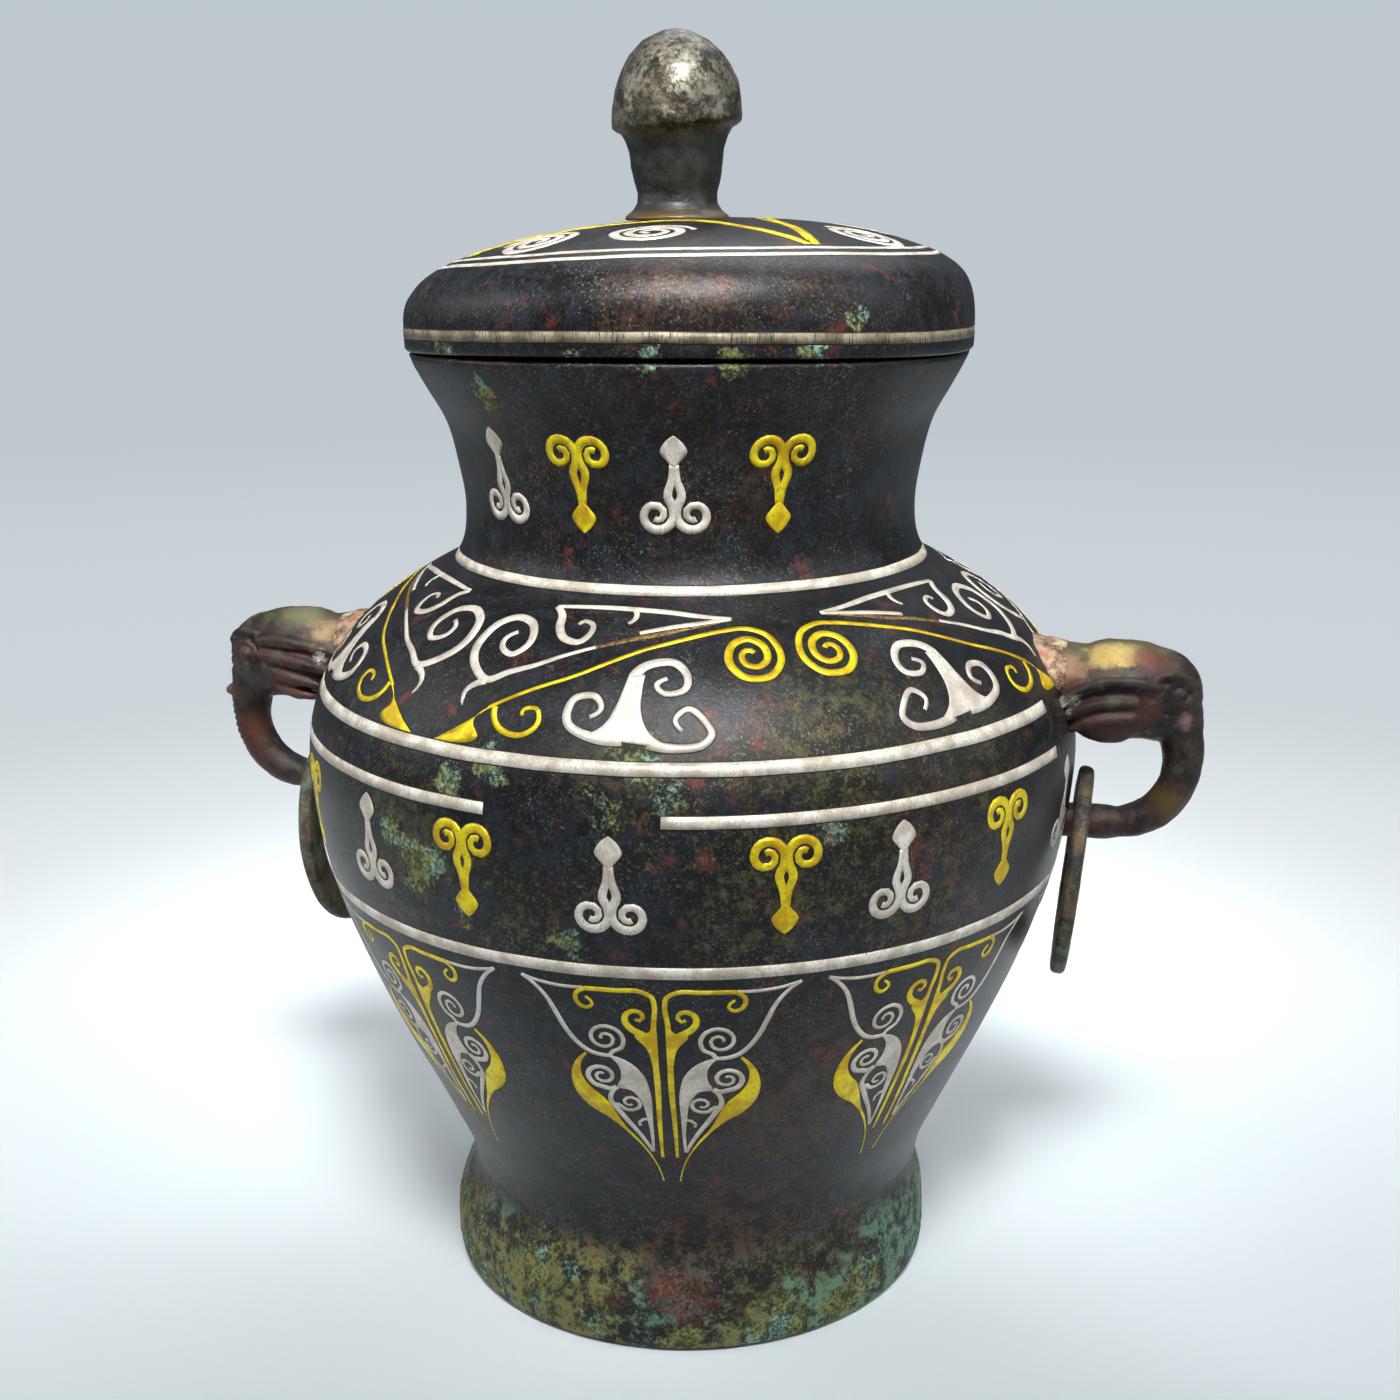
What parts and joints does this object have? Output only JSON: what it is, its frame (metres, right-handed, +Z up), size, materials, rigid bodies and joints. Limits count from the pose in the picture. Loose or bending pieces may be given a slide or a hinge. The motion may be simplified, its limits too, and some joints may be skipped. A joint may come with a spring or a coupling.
{
  "type": "lidded bronze wine jar",
  "caption": "Lidded bronze wine jar of lei form with elephant-head handles, loose rings and gold and silver inlaid scrolls.",
  "frame": {"origin": "middle of the jar's underside, on the table", "axes": "+Z up through the knob, +X towards the right handle, -Y towards the front"},
  "size_m": [0.2742, 0.2058, 0.33],
  "materials": {
    "dark_bronze": "dark patinated cast bronze, satin",
    "pale_bronze": "worn mottled bronze, satin",
    "brown_bronze": "red-brown patinated cast bronze, satin",
    "solder": "rough pale solder",
    "gold_inlay": "polished gold-coloured strip",
    "silver_inlay": "worn silver-coloured strip"
  },
  "bodies": {
    "jar": {"jar_body": "dark_bronze", "foot_ring": "dark_bronze", "right_handle": "brown_bronze", "left_handle": "brown_bronze", "right_handle_solder": "solder", "left_handle_solder": "solder", "neck_band": "silver_inlay", "shoulder_band_upper": "silver_inlay", "shoulder_band_lower": "silver_inlay", "belly_band": "silver_inlay", "shoulder_scrolls_gold": "gold_inlay", "shoulder_scrolls_silver": "silver_inlay", "belly_blades_gold": "gold_inlay", "belly_blades_silver": "silver_inlay", "belly_motifs_gold": "gold_inlay", "belly_motifs_silver": "silver_inlay", "neck_motifs_gold": "gold_inlay", "neck_motifs_silver": "silver_inlay"},
    "lid": {"lid_shell": "dark_bronze", "lid_knob": "pale_bronze", "lid_rim_band": "silver_inlay", "lid_edge_lines": "silver_inlay", "lid_scrolls_gold": "gold_inlay", "lid_scrolls_silver": "silver_inlay"},
    "right_ring": {"right_ring": "brown_bronze"},
    "left_ring": {"left_ring": "brown_bronze"}
  },
  "joints": [
    {"name": "lid_lift", "type": "slide", "parent": "jar", "child": "lid", "axis": [0, 0, 1], "range_m": [0, 0.15]},
    {"name": "right_ring_swing", "type": "hinge", "parent": "jar", "child": "right_ring", "pos_m": [0.1046, 0, 0.1298], "axis": [0.9949, 0, -0.1011], "range_deg": [-60, 60]},
    {"name": "left_ring_swing", "type": "hinge", "parent": "jar", "child": "left_ring", "pos_m": [-0.1046, 0, 0.1298], "axis": [-0.9949, 0, -0.1011], "range_deg": [-60, 60]}
  ]
}
